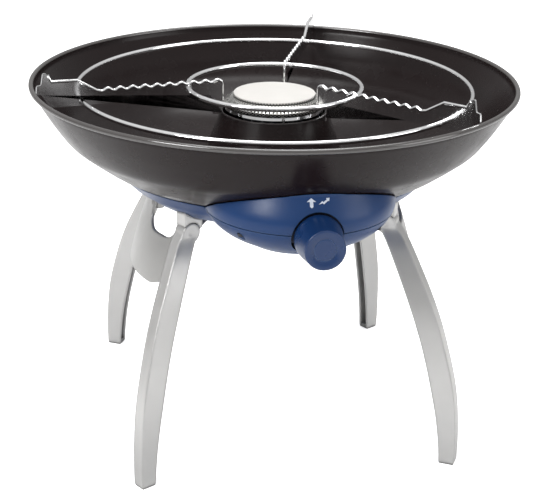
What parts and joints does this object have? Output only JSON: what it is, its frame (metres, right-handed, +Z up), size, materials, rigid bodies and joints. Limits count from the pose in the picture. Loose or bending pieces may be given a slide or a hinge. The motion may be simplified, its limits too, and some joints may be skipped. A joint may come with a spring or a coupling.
{
  "type": "folding_camp_grill",
  "caption": "Folding camp grill: black enamelled bowl with chimney and gas burner, chromed pan support, navy blue plastic base with control knob, silver legs folding in under the base",
  "frame": {"origin": "On the ground under the bowl's axis, which is also the middle of the footprint box to within 4 mm (the knob reaches slightly further forward than the bowl's rim reaches back)", "axes": "+Z up along the bowl and burner axis, -Y is the front with the control knob, +X is the right-hand side seen from the front"},
  "size_m": [0.4913, 0.4989, 0.3817],
  "materials": {
    "bowl_enamel": "satin black enamel on sheet steel",
    "blue_plastic": "satin navy blue moulding",
    "blue_knob": "smooth navy blue moulding",
    "navy_plastic": "dark navy moulding",
    "leg_silver": "satin silver-grey powder coat",
    "chrome": "bright plated wire",
    "blade_chrome": "bright plated sheet",
    "brass": "turned brass",
    "black_steel": "blackened screw steel",
    "burner_black": "heat-dulled black steel",
    "burner_steel": "pressed stainless",
    "burner_white": "pale cast cap",
    "zinc_steel": "zinc plated",
    "aluminium_pipe": "drawn tube",
    "rubber": "matt black",
    "grey_rubber": "matt grey",
    "black_plastic": "matt black moulding",
    "ceramic": "white insulator"
  },
  "bodies": {
    "base": {"base_shell": "blue_plastic", "bracket_screws": "zinc_steel", "burner_cap": "burner_white", "burner_cup": "burner_black", "burner_pipe": "aluminium_pipe", "burner_port_ring": "burner_steel", "burner_riser": "zinc_steel", "burner_trim_ring": "chrome", "electrode_ceramic": "ceramic", "electrode_clip": "zinc_steel", "fascia_screws": "black_steel", "front_fascia": "blue_plastic", "gas_inlet": "brass", "gas_valve": "brass", "handle_screws": "zinc_steel", "igniter_body": "black_plastic", "igniter_cable": "rubber", "igniter_electrode": "zinc_steel", "inlet_nut": "zinc_steel", "knob_bezel": "navy_plastic", "leg_bracket_fl": "navy_plastic", "leg_bracket_fr": "navy_plastic", "leg_bracket_rl": "navy_plastic", "leg_bracket_rr": "navy_plastic", "leg_collar_fl": "leg_silver", "leg_collar_fr": "leg_silver", "leg_collar_rl": "leg_silver", "leg_collar_rr": "leg_silver", "leg_hinge_pins": "zinc_steel", "mount_screws": "zinc_steel", "pipe_nuts": "brass", "riser_screws": "zinc_steel", "side_handle_left": "leg_silver", "side_handle_right": "leg_silver", "supply_pipe": "aluminium_pipe", "valve_locknut": "zinc_steel", "valve_mount": "zinc_steel"},
    "bowl": {"bowl": "bowl_enamel"},
    "pan_support": {"support_blade_a": "blade_chrome", "support_blade_b": "blade_chrome", "support_blade_c": "blade_chrome", "support_inner_ring": "chrome", "support_outer_ring": "chrome"},
    "spindle": {"valve_spindle": "brass"},
    "knob": {"control_knob": "blue_knob"},
    "leg_fl": {"foot_pad_fl": "grey_rubber", "leg_fl": "leg_silver"},
    "leg_fr": {"foot_pad_fr": "grey_rubber", "leg_fr": "leg_silver"},
    "leg_rl": {"foot_pad_rl": "grey_rubber", "leg_rl": "leg_silver"},
    "leg_rr": {"foot_pad_rr": "grey_rubber", "leg_rr": "leg_silver"}
  },
  "joints": [
    {"name": "bowl_lift", "type": "slide", "parent": "base", "child": "bowl", "axis": [0, 0, 1], "range_m": [0, 0.15]},
    {"name": "pan_support_lift", "type": "slide", "parent": "bowl", "child": "pan_support", "axis": [0, 0, 1], "range_m": [0, 0.12]},
    {"name": "knob_push", "type": "slide", "parent": "base", "child": "spindle", "axis": [0, 1, 0], "range_m": [0, 0.003]},
    {"name": "knob_turn", "type": "hinge", "parent": "spindle", "child": "knob", "pos_m": [0, -0.235, 0.27], "axis": [0, -1, 0], "range_deg": [0, 270]},
    {"name": "leg_fl_fold", "type": "hinge", "parent": "base", "child": "leg_fl", "pos_m": [-0.10045, -0.08802, 0.2315], "axis": [0.5, -0.866, 0], "range_deg": [0, 101]},
    {"name": "leg_fr_fold", "type": "hinge", "parent": "base", "child": "leg_fr", "pos_m": [0.10045, -0.08802, 0.2315], "axis": [0.5, 0.866, 0], "range_deg": [0, 80]},
    {"name": "leg_rl_fold", "type": "hinge", "parent": "base", "child": "leg_rl", "pos_m": [-0.10045, 0.08802, 0.2315], "axis": [-0.5, -0.866, 0], "range_deg": [0, 80]},
    {"name": "leg_rr_fold", "type": "hinge", "parent": "base", "child": "leg_rr", "pos_m": [0.10045, 0.08802, 0.2315], "axis": [-0.5, 0.866, 0], "range_deg": [0, 101]}
  ]
}
